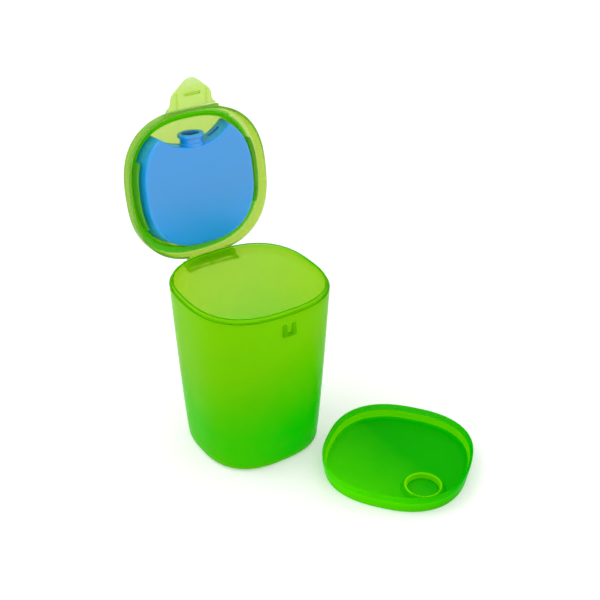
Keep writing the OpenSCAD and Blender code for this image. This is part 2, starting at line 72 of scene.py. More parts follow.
def addNode(tree, kind, settings=None, links=None):
    # settings are node attributes or socket values, links are sockets that feed it
    node = tree.nodes.new(kind)
    for key, value in (settings or {}).items():
        if isinstance(key, int) or key in node.inputs:
            node.inputs[key].default_value = value
        else:
            setattr(node, key, value)
    for key, socket in (links or {}).items():
        tree.links.new(socket, node.inputs[key])
    return node


# the paper glows a little, as on a lit table, so that shades under the object stay faint
studio = {"sky": "ffffff", "skyPower": 1.08, "keyPower": 6.0, "keySize": 0.9, "floor": "dcdcda", "glow": 0.28}

world = bpy.data.worlds.new("studio")
bpy.context.scene.world = world
world.use_nodes = True
world.node_tree.nodes.clear()
sky = addNode(world.node_tree, "ShaderNodeBackground", {"Color": hexColour(studio["sky"]), "Strength": studio["skyPower"]})
addNode(world.node_tree, "ShaderNodeOutputWorld", links={"Surface": sky.outputs[0]})


def softBox(name, place, aim, size, power):
    light = bpy.data.objects.new(name, bpy.data.lights.new(name, "AREA"))
    light.data.shape = "RECTANGLE"
    light.data.size, light.data.size_y = size
    light.data.energy = power
    light.location = place
    light.rotation_mode = "QUATERNION"
    light.rotation_quaternion = (Vector(aim) - Vector(place)).to_track_quat("-Z", "Y")
    bpy.context.scene.collection.objects.link(light)
    return light


softBox("keyLight", (-0.7, 0.5, 1.2), (0, 0, 0.05), (studio["keySize"], studio["keySize"]), studio["keyPower"])

floorMesh = bmesh.new()
bmesh.ops.create_grid(floorMesh, x_segments=8, y_segments=8, size=6)
floor = bpy.data.objects.new("floor", bpy.data.meshes.new("floor"))
floorMesh.to_mesh(floor.data)
floorMesh.free()
bpy.context.scene.collection.objects.link(floor)

paper = bpy.data.materials.new("studio paper")  # matt seamless paper, no gloss
paper.use_nodes = True
paper.node_tree.nodes.clear()
paperShader = addNode(paper.node_tree, "ShaderNodeBsdfPrincipled", {"Base Color": hexColour(studio["floor"]), "Roughness": 1.0, "Specular IOR Level": 0.0, "Emission Color": hexColour("ffffff"), "Emission Strength": studio["glow"]})
addNode(paper.node_tree, "ShaderNodeOutputMaterial", links={"Surface": paperShader.outputs[0]})
floor.data.materials.append(paper)
print("Studio ready")


# Materials

def mouldedPlastic(name, tint, body, deep, haze, rough, shine, index, depth=1.0, flow=(-0.16, 0.04)):
    # Injection-moulded polypropylene is clear to milky: light passes it, and it is deeper
    # in colour wherever the wall is thicker. tint is the colour that thick parts take on,
    # and haze is the share that the pigment scatters, at the table and at the rim; the larger
    # share low on the cup is painted light, which brightens its lower part. Faces marked
    # thick turn to the deep colour and scatter more: painted shade on the cup's rim edges and
    # catch, painted light on the tray's walls, and a band round the lid's ledge.
    # The index is below the real 1.49, which keeps the edges as soft and light as they are
    # in a studio.
    made = bpy.data.materials.new(name)
    made.use_nodes = True
    tree = made.node_tree
    tree.nodes.clear()
    place = addNode(tree, "ShaderNodeTexCoord")
    # moulding texture: about 0.8 mm across, a few microns deep
    skin = addNode(tree, "ShaderNodeTexNoise", {"Scale": 1 / (0.8 * mm), "Detail": 3.0, "Roughness": 0.55}, {"Vector": place.outputs["Object"]})
    # slow waves of the polished mould, 14 mm apart
    wave = addNode(tree, "ShaderNodeTexNoise", {"Scale": 1 / (14 * mm), "Detail": 1.0, "Roughness": 0.4}, {"Vector": place.outputs["Object"]})
    fine = addNode(tree, "ShaderNodeBump", {"Strength": 0.10, "Distance": 0.02 * mm}, {"Height": skin.outputs["Fac"]})
    slow = addNode(tree, "ShaderNodeBump", {"Strength": 0.5, "Distance": 0.05 * mm}, {"Height": wave.outputs["Fac"], "Normal": fine.outputs["Normal"]})
    gloss = addNode(tree, "ShaderNodeMapRange", {"From Min": 0.3, "From Max": 0.7, "To Min": rough * 0.85, "To Max": rough * 1.15}, {"Value": wave.outputs["Fac"]})
    # painted light: the pigment is yellower higher up and to the left, where the studio light falls stronger, with the
    # slow waves on top
    where = addNode(tree, "ShaderNodeSeparateXYZ", {}, {"Vector": place.outputs["Object"]})
    sideLight = addNode(tree, "ShaderNodeMapRange", {"From Min": flow[0], "From Max": flow[1], "To Min": -0.1, "To Max": 1.05}, {"Value": where.outputs["X"]})
    wavesAndSideLight = addNode(tree, "ShaderNodeMath", {"operation": "MULTIPLY_ADD", 1: 0.2}, {0: wave.outputs["Fac"], 2: sideLight.outputs["Result"]})
    topLight = addNode(tree, "ShaderNodeMapRange", {"From Min": 0.03, "From Max": 0.1}, {"Value": where.outputs["Z"]})
    green = addNode(tree, "ShaderNodeMath", {"operation": "SUBTRACT", "use_clamp": True}, {0: wavesAndSideLight.outputs[0], 1: topLight.outputs["Result"]})
    pigment = addNode(tree, "ShaderNodeMix", {"data_type": "RGBA"}, {"Factor": green.outputs[0]})
    pigment.inputs[6].default_value = hexColour(body[0])
    pigment.inputs[7].default_value = hexColour(body[1])
    thick = addNode(tree, "ShaderNodeAttribute", {"attribute_name": "thick"})
    dyed = addNode(tree, "ShaderNodeMix", {"data_type": "RGBA"}, {"Factor": thick.outputs["Fac"], 6: pigment.outputs[2]})
    dyed.inputs[7].default_value = hexColour(deep)
    shader = addNode(
        tree, "ShaderNodeBsdfPrincipled",
        {"IOR": index, "Transmission Weight": 1.0, "Base Color": hexColour("ffffff"), "Specular Tint": hexColour(shine)},
        {"Roughness": gloss.outputs["Result"], "Normal": slow.outputs["Normal"]},
    )
    milk = addNode(tree, "ShaderNodeBsdfTranslucent", {}, {"Color": dyed.outputs[2]})
    face = addNode(tree, "ShaderNodeBsdfDiffuse", {}, {"Color": dyed.outputs[2]})
    both = addNode(tree, "ShaderNodeMixShader", {"Fac": 0.5}, {1: milk.outputs[0], 2: face.outputs[0]})
    # painted light: the haze share is larger near the table, which brightens the lower part
    milky = addNode(
        tree, "ShaderNodeMapRange",
        {"From Min": 0.0, "From Max": 0.08, "To Min": haze[0], "To Max": haze[1], "interpolation_type": "SMOOTHSTEP"},
        {"Value": where.outputs["Z"]},
    )
    share = addNode(tree, "ShaderNodeMath", {"operation": "MULTIPLY_ADD", 1: 0.45, "use_clamp": True}, {0: thick.outputs["Fac"], 2: milky.outputs["Result"]})
    surface = addNode(tree, "ShaderNodeMixShader", {}, {"Fac": share.outputs[0], 1: shader.outputs[0], 2: both.outputs[0]})
    inside = addNode(tree, "ShaderNodeVolumeAbsorption", {"Color": hexColour(tint), "Density": depth / mm})
    addNode(tree, "ShaderNodeOutputMaterial", links={"Surface": surface.outputs[0], "Volume": inside.outputs[0]})
    return made


def blownPlastic(name, body, deep, rough, low=0.13, high=0.175):
    # Blow-moulded polyethylene is waxy: light goes a little way in, the skin has a soft
    # orange-peel texture and the gloss is broad. Above the height low to high it is painted
    # paler, a painted sheen of the light from above, and on the sides, marked thick, it is
    # painted deeper, as painted shade.
    made = bpy.data.materials.new(name)
    made.use_nodes = True
    tree = made.node_tree
    tree.nodes.clear()
    place = addNode(tree, "ShaderNodeTexCoord")
    peel = addNode(tree, "ShaderNodeTexNoise", {"Scale": 1 / (1.1 * mm), "Detail": 2.0, "Roughness": 0.5}, {"Vector": place.outputs["Object"]})
    flow = addNode(tree, "ShaderNodeTexNoise", {"Scale": 1 / (22 * mm), "Detail": 3.0, "Roughness": 0.5}, {"Vector": place.outputs["Object"]})
    bump = addNode(tree, "ShaderNodeBump", {"Strength": 0.16, "Distance": 0.04 * mm}, {"Height": peel.outputs["Fac"]})
    height = addNode(tree, "ShaderNodeSeparateXYZ", {}, {"Vector": place.outputs["Object"]})
    # painted sheen: paler above the height low to high, as the light from above reflects in the face
    sheenAbove = addNode(tree, "ShaderNodeMapRange", {"From Min": low, "From Max": high, "interpolation_type": "SMOOTHSTEP"}, {"Value": height.outputs["Z"]})
    cloudy = addNode(tree, "ShaderNodeMath", {"operation": "MULTIPLY_ADD", 1: 0.3, 2: -0.15}, {0: flow.outputs["Fac"]})
    level = addNode(tree, "ShaderNodeMath", {"operation": "ADD", "use_clamp": True}, {0: sheenAbove.outputs["Result"], 1: cloudy.outputs[0]})
    thick = addNode(tree, "ShaderNodeAttribute", {"attribute_name": "thick"})
    # painted shade: faces marked thick, the sides, take the deep colour
    paler = addNode(tree, "ShaderNodeMath", {"operation": "SUBTRACT", "use_clamp": True}, {0: level.outputs[0], 1: thick.outputs["Fac"]})
    colour = addNode(tree, "ShaderNodeMix", {"data_type": "RGBA"}, {"Factor": paler.outputs[0]})
    colour.inputs[6].default_value = hexColour(deep)
    colour.inputs[7].default_value = hexColour(body)
    gloss = addNode(tree, "ShaderNodeMapRange", {"From Min": 0.3, "From Max": 0.7, "To Min": rough * 0.9, "To Max": rough * 1.1}, {"Value": flow.outputs["Fac"]})
    shader = addNode(
        tree, "ShaderNodeBsdfPrincipled",
        {"IOR": 1.51, "Specular IOR Level": 0.6, "Subsurface Weight": 0.5, "Subsurface Radius": (0.2, 0.6, 1.0), "Subsurface Scale": 2.0 * mm},
        {"Base Color": colour.outputs[2], "Roughness": gloss.outputs["Result"], "Normal": bump.outputs["Normal"]},
    )
    addNode(tree, "ShaderNodeOutputMaterial", links={"Surface": shader.outputs[0]})
    return made


# painted light: each pigment pair runs from a yellower lit copy to a shaded copy of one green; the deep colour is
# painted shade on the cup and painted light on the tray
cupPlastic = mouldedPlastic("green translucent polypropylene", "f6f48c", ("9cf900", "00fc06"), "30b400", (0.62, 0.52), 0.14, "80e040", 1.15)
lidPlastic = mouldedPlastic("pale green translucent polypropylene", "edf67c", ("aee276", "a4da6a"), "58e800", (0.34, 0.34), 0.12, "a0e870", 1.1)
trayPlastic = mouldedPlastic("deep green translucent polypropylene", "c0fe00", ("7af600", "00d000"), "a8ff00", (0.66, 0.66), 0.14, "50e010", 1.12, 2.0, (0.0, 0.085))
# the body colour is the deep blue with a painted sheen of the light from above
packPlastic = blownPlastic("blue blow-moulded polyethylene", "3c98e0", "009cf0", 0.34)
plugPlastic = blownPlastic("dark blue polyethylene stopper", "1c5fa8", "174f92", 0.4)
coolant = blownPlastic("water-based coolant", "a8d0f0", "98c8ec", 0.1)
print("Materials ready")


# Tools for the shapes

def planPoint(halfX, halfY, power, turn, height):
    # a point of a rounded-square plan, seen from its middle
    c, s = math.cos(turn), math.sin(turn)
    far = 1 / (abs(c) ** power + abs(s) ** power) ** (1 / power)
    return Vector((halfX * far * c, halfY * far * s, height))


def planRing(halfX, halfY, power, height, steps=180):
    return [planPoint(halfX, halfY, power, 2 * math.pi * i / steps, height) for i in range(steps)]


def roundedSection(corners, steps=6):
    # corners are (inset, height, radius), and each radius turns its corner into an arc
    made = []
    for i, (inset, height, radius) in enumerate(corners):
        here = Vector((inset, height))
        if not radius or i in (0, len(corners) - 1):
            made.append(here)
            continue
        back = (Vector(corners[i - 1][:2]) - here).normalized()
        on = (Vector(corners[i + 1][:2]) - here).normalized()
        half = back.angle(on) / 2
        middle = here + (back + on).normalized() * radius / math.sin(half)
        start = here + back * radius / math.tan(half) - middle
        end = here + on * radius / math.tan(half) - middle
        for k in range(steps + 1):
            made.append(middle + start.lerp(end, k / steps).normalized() * radius)
    return made


def growRings(rings):
    # each ring is grown from the one before, and its points are then put in place
    mesh = bmesh.new()
    start = bmesh.ops.create_circle(mesh, cap_ends=True, segments=len(rings[0]), radius=1)
    number = {v: i for i, v in enumerate(start["verts"])}
    edges = list(mesh.edges)
    for count, ring in enumerate(rings):
        if count:
            grown = bmesh.ops.extrude_edge_only(mesh, edges=edges)["geom"]
            fresh = {}
            for v in grown:
                if isinstance(v, bmesh.types.BMVert):
                    for e in v.link_edges:
                        if e.other_vert(v) in number:
                            fresh[v] = number[e.other_vert(v)]
            number = fresh
            edges = [e for e in grown if isinstance(e, bmesh.types.BMEdge) and all(v in number for v in e.verts)]
        for v, i in number.items():
            v.co = ring[i]
    bmesh.ops.contextual_create(mesh, geom=edges)
    bmesh.ops.recalc_face_normals(mesh, faces=mesh.faces[:])
    return mesh


def prism(outline, low, high, axis="Z"):
    # an outline pulled along an axis; for X the outline is in y and z
    mesh = growRings([[Vector((p[0], p[1], low)) for p in outline], [Vector((p[0], p[1], high)) for p in outline]])
    if axis == "X":
        for v in mesh.verts:
            v.co = Vector((v.co.z, v.co.x, v.co.y))
    bmesh.ops.recalc_face_normals(mesh, faces=mesh.faces[:])
    return mesh


def box(low, high):
    mesh = bmesh.new()
    bmesh.ops.create_cube(mesh, size=1)
    for v in mesh.verts:
        v.co = Vector(high[i] if v.co[i] > 0 else low[i] for i in range(3))
    bmesh.ops.recalc_face_normals(mesh, faces=mesh.faces[:])
    return mesh


def rodX(x, y, z, radius, length, steps=64):
    mesh = bmesh.new()
    bmesh.ops.create_cone(mesh, cap_ends=True, segments=steps, radius1=radius, radius2=radius, depth=length)
    bmesh.ops.rotate(mesh, verts=mesh.verts, cent=(0, 0, 0), matrix=Matrix.Rotation(math.pi / 2, 3, "Y"))
    bmesh.ops.translate(mesh, verts=mesh.verts, vec=(x, y, z))
    return mesh


def asObject(name, mesh):
    made = bpy.data.objects.new(name, bpy.data.meshes.new(name))
    mesh.to_mesh(made.data)
    mesh.free()
    bpy.context.scene.collection.objects.link(made)
    return made


def combine(base, steps):
    # steps are ("UNION" or "DIFFERENCE" or "INTERSECT", bmesh), worked through in order
    helpers = []
    for how, mesh in steps:
        other = asObject("helper", mesh)
        helpers.append(other)
        cut = base.modifiers.new("cut", "BOOLEAN")
        cut.operation = how
        cut.solver = "EXACT"
        cut.object = other
    shaped = bpy.data.meshes.new_from_object(base.evaluated_get(bpy.context.evaluated_depsgraph_get()))
    base.modifiers.clear()
    base.data = shaped
    for other in helpers:
        bpy.data.objects.remove(other)
    return base


def markDeepFaces(made, test):
    # test gets the middle and the normal of a face, in millimetres
    mark = made.data.attributes.new("thick", "FLOAT", "FACE")
    mark.data.foreach_set("value", [test(face.center, face.normal) for face in made.data.polygons])
    return made


def finishPiece(made, body, node, material, smooth=32):
    mesh = bmesh.new()
    mesh.from_mesh(made.data)
    bmesh.ops.remove_doubles(mesh, verts=mesh.verts, dist=0.004)
    bmesh.ops.scale(mesh, verts=mesh.verts, vec=(mm, mm, mm))
    mesh.to_mesh(made.data)
    mesh.free()
    made.data.materials.clear()
    made.data.materials.append(material)
    made.data.polygons.foreach_set("material_index", [0] * len(made.data.polygons))
    made.data.shade_smooth()
    made.data.set_sharp_from_angle(angle=math.radians(smooth))
    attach(made, body)
    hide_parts(node)
    print("Piece", made.name, len(made.data.polygons), "faces")
    return made


# Cup

cup = {
    "width": 100, "depth": 98.4, "height": 124, "footWidth": 85, "footDepth": 83.6,
    "wall": 2, "floor": 2.2, "footRound": 3.6, "footRing": 5, "recess": 0.8,
    "power": 2.62, "swell": 0.75, "collar": 2.7, "step": 1.5, "collarWall": 1.25, "blend": 6,
}
catch = {"width": 9.6, "height": 8.8, "drop": 7, "out": 1.9, "rib": 2.7, "shelf": 2.2}
hinge = {
    "pin": 3, "play": 0.08, "out": 5.2, "drop": 6, "length": 40, "ear": 3, "earRound": 2.3,
    "top": 116.6, "padHeight": 1.2, "padOut": 1.1, "gusset": 1.2, "clipPlay": 0.5, "clipWall": 1.25, "mouth": 2.4, "open": 99,
}
pinY = cup["depth"] / 2 + hinge["out"]
pinZ = cup["height"] - hinge["drop"]
clipWidth = (hinge["length"] - hinge["ear"]) / 2 - hinge["ear"] - 2 * hinge["clipPlay"]


def cupHalf(height):
    share = (max(height, 0) / cup["height"]) ** cup["swell"]
    return (
        cup["footWidth"] / 2 + (cup["width"] - cup["footWidth"]) / 2 * min(share, 1),
        cup["footDepth"] / 2 + (cup["depth"] - cup["footDepth"]) / 2 * min(share, 1),
    )


def cupRing(inset, height):
    halfX, halfY = cupHalf(min(height, cup["height"]))
    return planRing(halfX - inset, halfY - inset, cup["power"], height)


def cupBody():
    h, foot, wall = cup["height"], cup["footRound"], cup["wall"]
    rim = cup["step"] + cup["collarWall"]
    inner = foot - wall / 2
    outside = [(0, foot + 4 + (h - 8 - foot) * i / 30, 0) for i in range(30)]
    inside = [(wall, h - cup["blend"] - 4 - (h - cup["blend"] - 14) * i / 26, 0) for i in range(27)]
    corners = [
        (foot + cup["footRing"] + cup["recess"] + 6, cup["recess"], 0),
        (foot + cup["footRing"] + cup["recess"], cup["recess"], 0.3),
        (foot + cup["footRing"], 0, 0.3),
        (0, 0, foot), *outside,
        (0, h, 0.5), (cup["step"], h, 0.2),
        (cup["step"], h + cup["collar"], 0.4), (rim, h + cup["collar"], 0.5),
        (rim, h, 3), (wall, h - cup["blend"], 3), *inside,
        (wall, cup["floor"], inner), (wall + inner + 8, cup["floor"], 0),
    ]
    return asObject("cupBody", growRings([cupRing(*p) for p in roundedSection(corners)]))


def cupCore():
    # all the space inside the middle of the wall
    levels = [cup["floor"]] + [cup["floor"] + (cup["height"] - cup["floor"]) * i / 24 for i in range(1, 25)]
    rings = [cupRing(cup["wall"] / 2, z) for z in levels]
    rings.append([p + Vector((0, 0, 2)) for p in rings[-1]])
    return growRings(rings)


def catchParts():
    low = cup["height"] - catch["drop"] - catch["height"]
    lowY, topY = -cupHalf(low)[1], -cupHalf(low + catch["height"])[1]
    rib = [
        (lowY + cup["wall"] / 2, low), (lowY - catch["out"] + 0.3, low), (lowY - catch["out"], low + 0.3),
        (lowY - catch["out"], low + catch["shelf"]),
        (topY - catch["out"] / 3, low + catch["height"] - 0.2), (topY - catch["out"] / 3 + 0.3, low + catch["height"]),
        (topY + cup["wall"] / 2, low + catch["height"]),
    ]
    shelf = [
        (lowY + cup["wall"] / 2, low), (lowY - catch["out"] + 0.3, low), (lowY - catch["out"], low + 0.3),
        (lowY - catch["out"], low + catch["shelf"] / 2), (lowY - catch["out"] / 2, low + catch["shelf"]),
        (lowY + cup["wall"] / 2, low + catch["shelf"]),
    ]
    half, inner = catch["width"] / 2, catch["width"] / 2 - catch["rib"]
    return [
        ("UNION", prism(rib, inner, half, "X")), ("UNION", prism(rib, -half, -inner, "X")),
        ("UNION", prism(shelf, -inner - 0.2, inner + 0.2, "X")),
    ]


def bracketParts():
    top = hinge["top"]  # just under the lid's free edge as it swings
    wallY = cupHalf(top)[1] - 3 * cup["wall"]
    r = hinge["earRound"]
    ear = [(wallY, top), (pinY - r, top)]
    ear += [(pinY + r * math.cos(a), pinZ + r * math.sin(a)) for a in (math.pi * (1 - i / 12) for i in range(13))]
    ear += [(pinY + r, pinZ - r), (wallY, pinZ - r - hinge["gusset"])]
    half = hinge["length"] / 2
    padY = cupHalf(top)[1]
    parts = []
    for x in (-half, -hinge["ear"] / 2, half - hinge["ear"]):
        parts.append(("UNION", prism(ear, x, x + hinge["ear"], "X")))
    parts.append(("UNION", rodX(0, pinY, pinZ, hinge["pin"] / 2, hinge["length"] - hinge["ear"])))
    parts.append(("DIFFERENCE", cupCore()))
    pad = asObject("pad", box((-half, padY - 4 * cup["wall"], top - hinge["padHeight"]), (half, padY + hinge["padOut"], top)))
    combine(pad, parts)
    mesh = bmesh.new()
    mesh.from_mesh(pad.data)
    bpy.data.objects.remove(pad)
    return [("UNION", mesh)]


# painted shade: the rim's slanted edges and the catch's outer faces take the dark deep colour, as dark lines where the
# light is trapped
def cupEdgeShade(middle, normal):
    if middle.z > cup["height"] - 1 and 0.15 < abs(normal.z) < 0.985:
        return 1.0
    low = cup["height"] - catch["drop"] - catch["height"]
    onCatch = abs(middle.x) < catch["width"] / 2 + 0.1 and low - 0.1 < middle.z < low + catch["height"] + 0.1
    return 0.6 if onCatch and middle.y < -cupHalf(middle.z)[1] - 0.15 else 0.0


cupPiece = markDeepFaces(combine(cupBody(), catchParts() + bracketParts()), cupEdgeShade)
cupPiece = finishPiece(cupPiece, "cup", "cup_body", cupPlastic)


# Lid

lid = {
    "gap": 1, "power": 2.55, "wall": 1.5, "skirt": 9.8, "seat": 0.3, "well": 6.1,
    "ringGap": 1, "ringWall": 1.2, "ring": 1.2, "holderLength": 46, "holder": 8.4, "round": 2.6, "band": 4.2,
}
ledgeZ = cup["height"] + cup["collar"] + lid["seat"]
freeZ = ledgeZ - lid["skirt"]
wellZ = ledgeZ + lid["well"]
lidTop = wellZ + lid["wall"]
lidX = cup["width"] / 2 + lid["gap"] + lid["wall"]
lidY = cup["depth"] / 2 + lid["gap"] + lid["wall"]
wellIn = lid["gap"] + lid["wall"] + cup["step"] + cup["collarWall"] + lid["ringGap"] + lid["ringWall"]
latch = {
    "rootWidth": 38.4, "width": 31, "length": 21.2, "shoulder": 9.5, "shoulderY": 6, "tip": 8.5, "curl": 0.6,
    "thick": 1.4, "out": 0.9, "flare": 1.6, "tilt": 12, "bar": 2, "barWidth": 11, "barThick": 1.5,
    "barGap": 0.5, "ribApart": 22, "rib": 0.9, "film": 0.5, "groove": 0.6, "flat": 0.62,
}
foldY = -lidY - latch["out"]
foldZ = freeZ + latch["thick"] / 2


def lidRing(inset, height):
    return planRing(lidX - inset, lidY - inset, lid["power"], height)


def opened(made):
    # the lid and all it carries stand open about the pin
    turn = Matrix.Rotation(math.radians(-hinge["open"]), 4, "X")
    pin = Matrix.Translation((0, pinY, pinZ))
    made.data.transform(pin @ turn @ pin.inverted())
    return made


def lidBody():
    out = wellIn - lid["wall"]
    ringIn = wellIn - lid["ringWall"]
    corners = [
        (wellIn + 9, wellZ, 0), (wellIn, wellZ, 1.6),
        (wellIn, ledgeZ - lid["ring"], 0.25), (ringIn, ledgeZ - lid["ring"], 0.25), (ringIn, ledgeZ, 0.25),
        (lid["band"], ledgeZ, 0), (lid["wall"] + 0.4, ledgeZ, 0.5), (lid["wall"], freeZ, 0.3), (0, freeZ, 0.4),
        (0.4, ledgeZ + lid["wall"], lid["round"]), (out - 0.3, ledgeZ + lid["wall"], 0.9),
        (out, lidTop, lid["round"]), (out + 9, lidTop, 0),
    ]
    return asObject("lidShell", growRings([lidRing(*p) for p in roundedSection(corners)]))


def holderParts():
    # two side walls that keep the cold pack in
    ringIn = wellIn - lid["ringWall"]
    low, half = ledgeZ - lid["holder"], lid["holderLength"] / 2
    outer = growRings([lidRing(ringIn, low), lidRing(ringIn, ledgeZ + 0.4)])
    wall = asObject("holders", outer)
    combine(wall, [
        ("DIFFERENCE", growRings([lidRing(wellIn, low - 1), lidRing(wellIn, ledgeZ + 1)])),
        ("INTERSECT", box((-60, -half, low - 1), (60, half, ledgeZ + 2))),
    ])
    mesh = bmesh.new()
    mesh.from_mesh(wall.data)
    bpy.data.objects.remove(wall)
    return [("UNION", mesh)]


def skirtMiddle(x):
    return (lidY - lid["wall"] / 2) * (1 - abs(x / (lidX - lid["wall"] / 2)) ** lid["power"]) ** (1 / lid["power"])


def lipParts():
    root = latch["rootWidth"] / 2
    wide = root + latch["flare"]
    front = foldY + latch["film"]
    outline = [(-root, front), (root, front), (wide, -lidY + 0.2)]
    outline += [(wide * (1 - i / 10), -skirtMiddle(wide * (1 - i / 10))) for i in range(21)]
    outline += [(-wide, -lidY + 0.2)]
    mesh = prism(outline, freeZ, freeZ + latch["thick"])
    for v in mesh.verts:
        if v.co.z > freeZ + 0.1 and v.co.y > -lidY + 0.1:
            v.co.z += latch["thick"]
    # a bevel under the front edge lets the tab fold right down
    corner = Vector((0, front, freeZ + latch["groove"]))
    geometry = mesh.verts[:] + mesh.edges[:] + mesh.faces[:]
    cut = bmesh.ops.bisect_plane(mesh, geom=geometry, plane_co=corner, plane_no=(0, -1, -1), clear_outer=True)["geom_cut"]
    bmesh.ops.contextual_create(mesh, geom=[g for g in cut if isinstance(g, bmesh.types.BMEdge)])
    return [("UNION", mesh)]


def clipParts():
    bore = hinge["pin"] / 2 + hinge["play"]
    outer = bore + hinge["clipWall"]
    made = []
    for x in (-(hinge["length"] - hinge["ear"]) / 4, (hinge["length"] - hinge["ear"]) / 4):
        half = clipWidth / 2
        made.append(("UNION", rodX(x, pinY, pinZ, outer, clipWidth)))
        made.append(("UNION", box((x - half, lidY - lid["wall"] / 2 - 0.1, freeZ + 0.2), (x + half, pinY, pinZ + outer))))
        made.append(("DIFFERENCE", rodX(x, pinY, pinZ, bore, clipWidth + 2)))
        mouth = box((x - half - 1, 0, -hinge["mouth"] / 2), (x + half + 1, 2 * outer, hinge["mouth"] / 2))
        bmesh.ops.rotate(mouth, verts=mouth.verts, cent=(0, 0, 0), matrix=Matrix.Rotation(math.radians(-45), 3, "X"))
        bmesh.ops.translate(mouth, verts=mouth.verts, vec=(0, pinY, pinZ))
        made.append(("DIFFERENCE", mouth))
    return made


# a band round the ledge takes the deep colour; at the back it is wider, painted shade of the cup and its shadow seen
# behind the lid
def lidBand(middle, normal):
    plan = (abs(middle.x / lidX) ** lid["power"] + abs(middle.y / lidY) ** lid["power"]) ** (1 / lid["power"])
    inset = lidX * (1 - plan)
    start = lid["band"] - 0.3 if middle.y < 15 else lid["wall"] + 0.2
    if start < inset < wellIn + 0.1 and ledgeZ - lid["ring"] - 0.2 < middle.z < ledgeZ + lid["wall"] + 0.6:
        return 1.0
    onHolder = wellIn - lid["ringWall"] - 0.2 < inset < wellIn + 0.1 and middle.z < ledgeZ - lid["ring"]
    return 0.6 if onHolder else 0.0


lidPiece = markDeepFaces(combine(lidBody(), holderParts() + lipParts() + clipParts()), lidBand)
lidPiece = finishPiece(opened(lidPiece), "lid", "lid_shell", lidPlastic)


# Latch tab

def latchSide():
    # right half of the outline, with the distance from the fold line as y
    shoulder = Vector((latch["width"] / 2 - latch["shoulder"], latch["shoulderY"]))
    tip = Vector((0, latch["length"] - latch["tip"]))
    run = tip - shoulder
    square = math.atan2(run.y, run.x) - math.acos((latch["shoulder"] - latch["tip"]) / run.length)
    flare = (latch["rootWidth"] - latch["width"]) / 2
    side = []
    for i in range(10):
        t = i / 10
        side.append(Vector((latch["width"] / 2 + flare * (1 - t) ** 2, latch["film"] + (latch["shoulderY"] - latch["film"]) * t)))
    for i in range(13):
        a = square * i / 12
        side.append(shoulder + Vector((math.cos(a), math.sin(a))) * latch["shoulder"])
    for i in range(13):
        a = square + (math.pi / 2 - square) * i / 12
        side.append(tip + Vector((math.cos(a), math.sin(a))) * latch["tip"])
    return side


def latchBody():
    side = latchSide()
    outline = [Vector((p.x, -p.y)) for p in side] + [Vector((-p.x, -p.y)) for p in reversed(side[:-1])]
    middle = Vector((0, -latch["length"] * 0.42))
    half, edge = latch["thick"] / 2, 0.35
    rings = []
    for inset, z in roundedSection([(2, -half, 0), (0, -half, edge), (0, half, edge), (2, half, 0)], 4):
        ring = []
        for i, p in enumerate(outline):
            run = outline[(i + 1) % len(outline)] - outline[i - 1]
            out = Vector((-run.y, run.x)).normalized()
            if out.dot(p - middle) < 0:
                out = -out
            q = p - out * inset
            ring.append(Vector((q.x, q.y, z)))
        rings.append(ring)
    mesh = growRings(rings[1:-1])
    # cuts across the tab let its tip curl
    for i in range(1, 20):
        geometry = mesh.verts[:] + mesh.edges[:] + mesh.faces[:]
        bmesh.ops.bisect_plane(mesh, geom=geometry, plane_co=(0, -latch["length"] * i / 20, 0), plane_no=(0, 1, 0), dist=0.0005)
    corner = Vector((0, -latch["film"], latch["groove"] - latch["thick"] / 2))
    geometry = mesh.verts[:] + mesh.edges[:] + mesh.faces[:]
    cut = bmesh.ops.bisect_plane(mesh, geom=geometry, plane_co=corner, plane_no=(0, 1, -1), clear_outer=True)["geom_cut"]
    bmesh.ops.contextual_create(mesh, geom=[g for g in cut if isinstance(g, bmesh.types.BMEdge)])
    bend = latch["length"] * latch["flat"]
    for v in mesh.verts:
        t = (-v.co.y - bend) / (latch["length"] - bend)
        if t > 0:
            v.co.z = v.co.z * (1 - 0.6 * t) + latch["curl"] * t * t
    return asObject("latchTab", mesh)


def latchParts():
    half = latch["thick"] / 2
    catchLow = cup["height"] - catch["drop"] - catch["height"]
    barY = foldZ - catchLow + latch["barGap"]
    bar = box((-latch["barWidth"] / 2, -barY - latch["barThick"], -half - latch["bar"]), (latch["barWidth"] / 2, -barY, 0))
    made = [("UNION", bar)]
    for s in (-1, 1):
        x = s * latch["ribApart"] / 2
        rib = box((x - latch["rib"] / 2, -latch["length"] * (latch["flat"] - 0.04), -half - latch["rib"]), (x + latch["rib"] / 2, -latch["thick"], 0))
        made.append(("UNION", rib))
    film = latch["film"]
    made.append(("UNION", box((-latch["rootWidth"] / 2 + 1, -film - 0.5, -film / 2), (latch["rootWidth"] / 2 - 1, film / 2, film / 2))))
    return made


latchPiece = combine(latchBody(), latchParts())
latchPiece.data.transform(Matrix.Translation((0, foldY, foldZ)) @ Matrix.Rotation(math.radians(latch["tilt"]), 4, "X"))
latchPiece = finishPiece(opened(latchPiece), "latch", "latch_tab", lidPlastic)


# Cold pack

pack = {
    "thick": 17.8, "gap": 0.3, "taper": 3.4, "frontTaper": 0.3, "backTaper": 0.45, "round": 2.4, "faceRound": 3.4, "hollowRound": 1.3, "hollowR": 39, "hollowY": 26.7, "horn": 1.8,
    "lip": 18.2, "neck": 15.4, "bore": 12.4, "neckLength": 8, "lipThick": 2.4, "plug": 4, "plugSink": 1.4, "plugGap": 0.05, "plugWall": 1.6,
    "slotLength": 10.5, "slotWidth": 3.4, "slotDeep": 2.2, "slotAngle": 28, "slotBack": 7.6,
}
packX = lidX - wellIn - pack["gap"]
packY = lidY - wellIn - pack["gap"]
packBack = wellZ - pack["gap"]
neckZ = packBack - max(pack["thick"], pack["lip"]) / 2
hollowMid = Vector((0, -pack["hollowY"] - pack["hollowR"]))


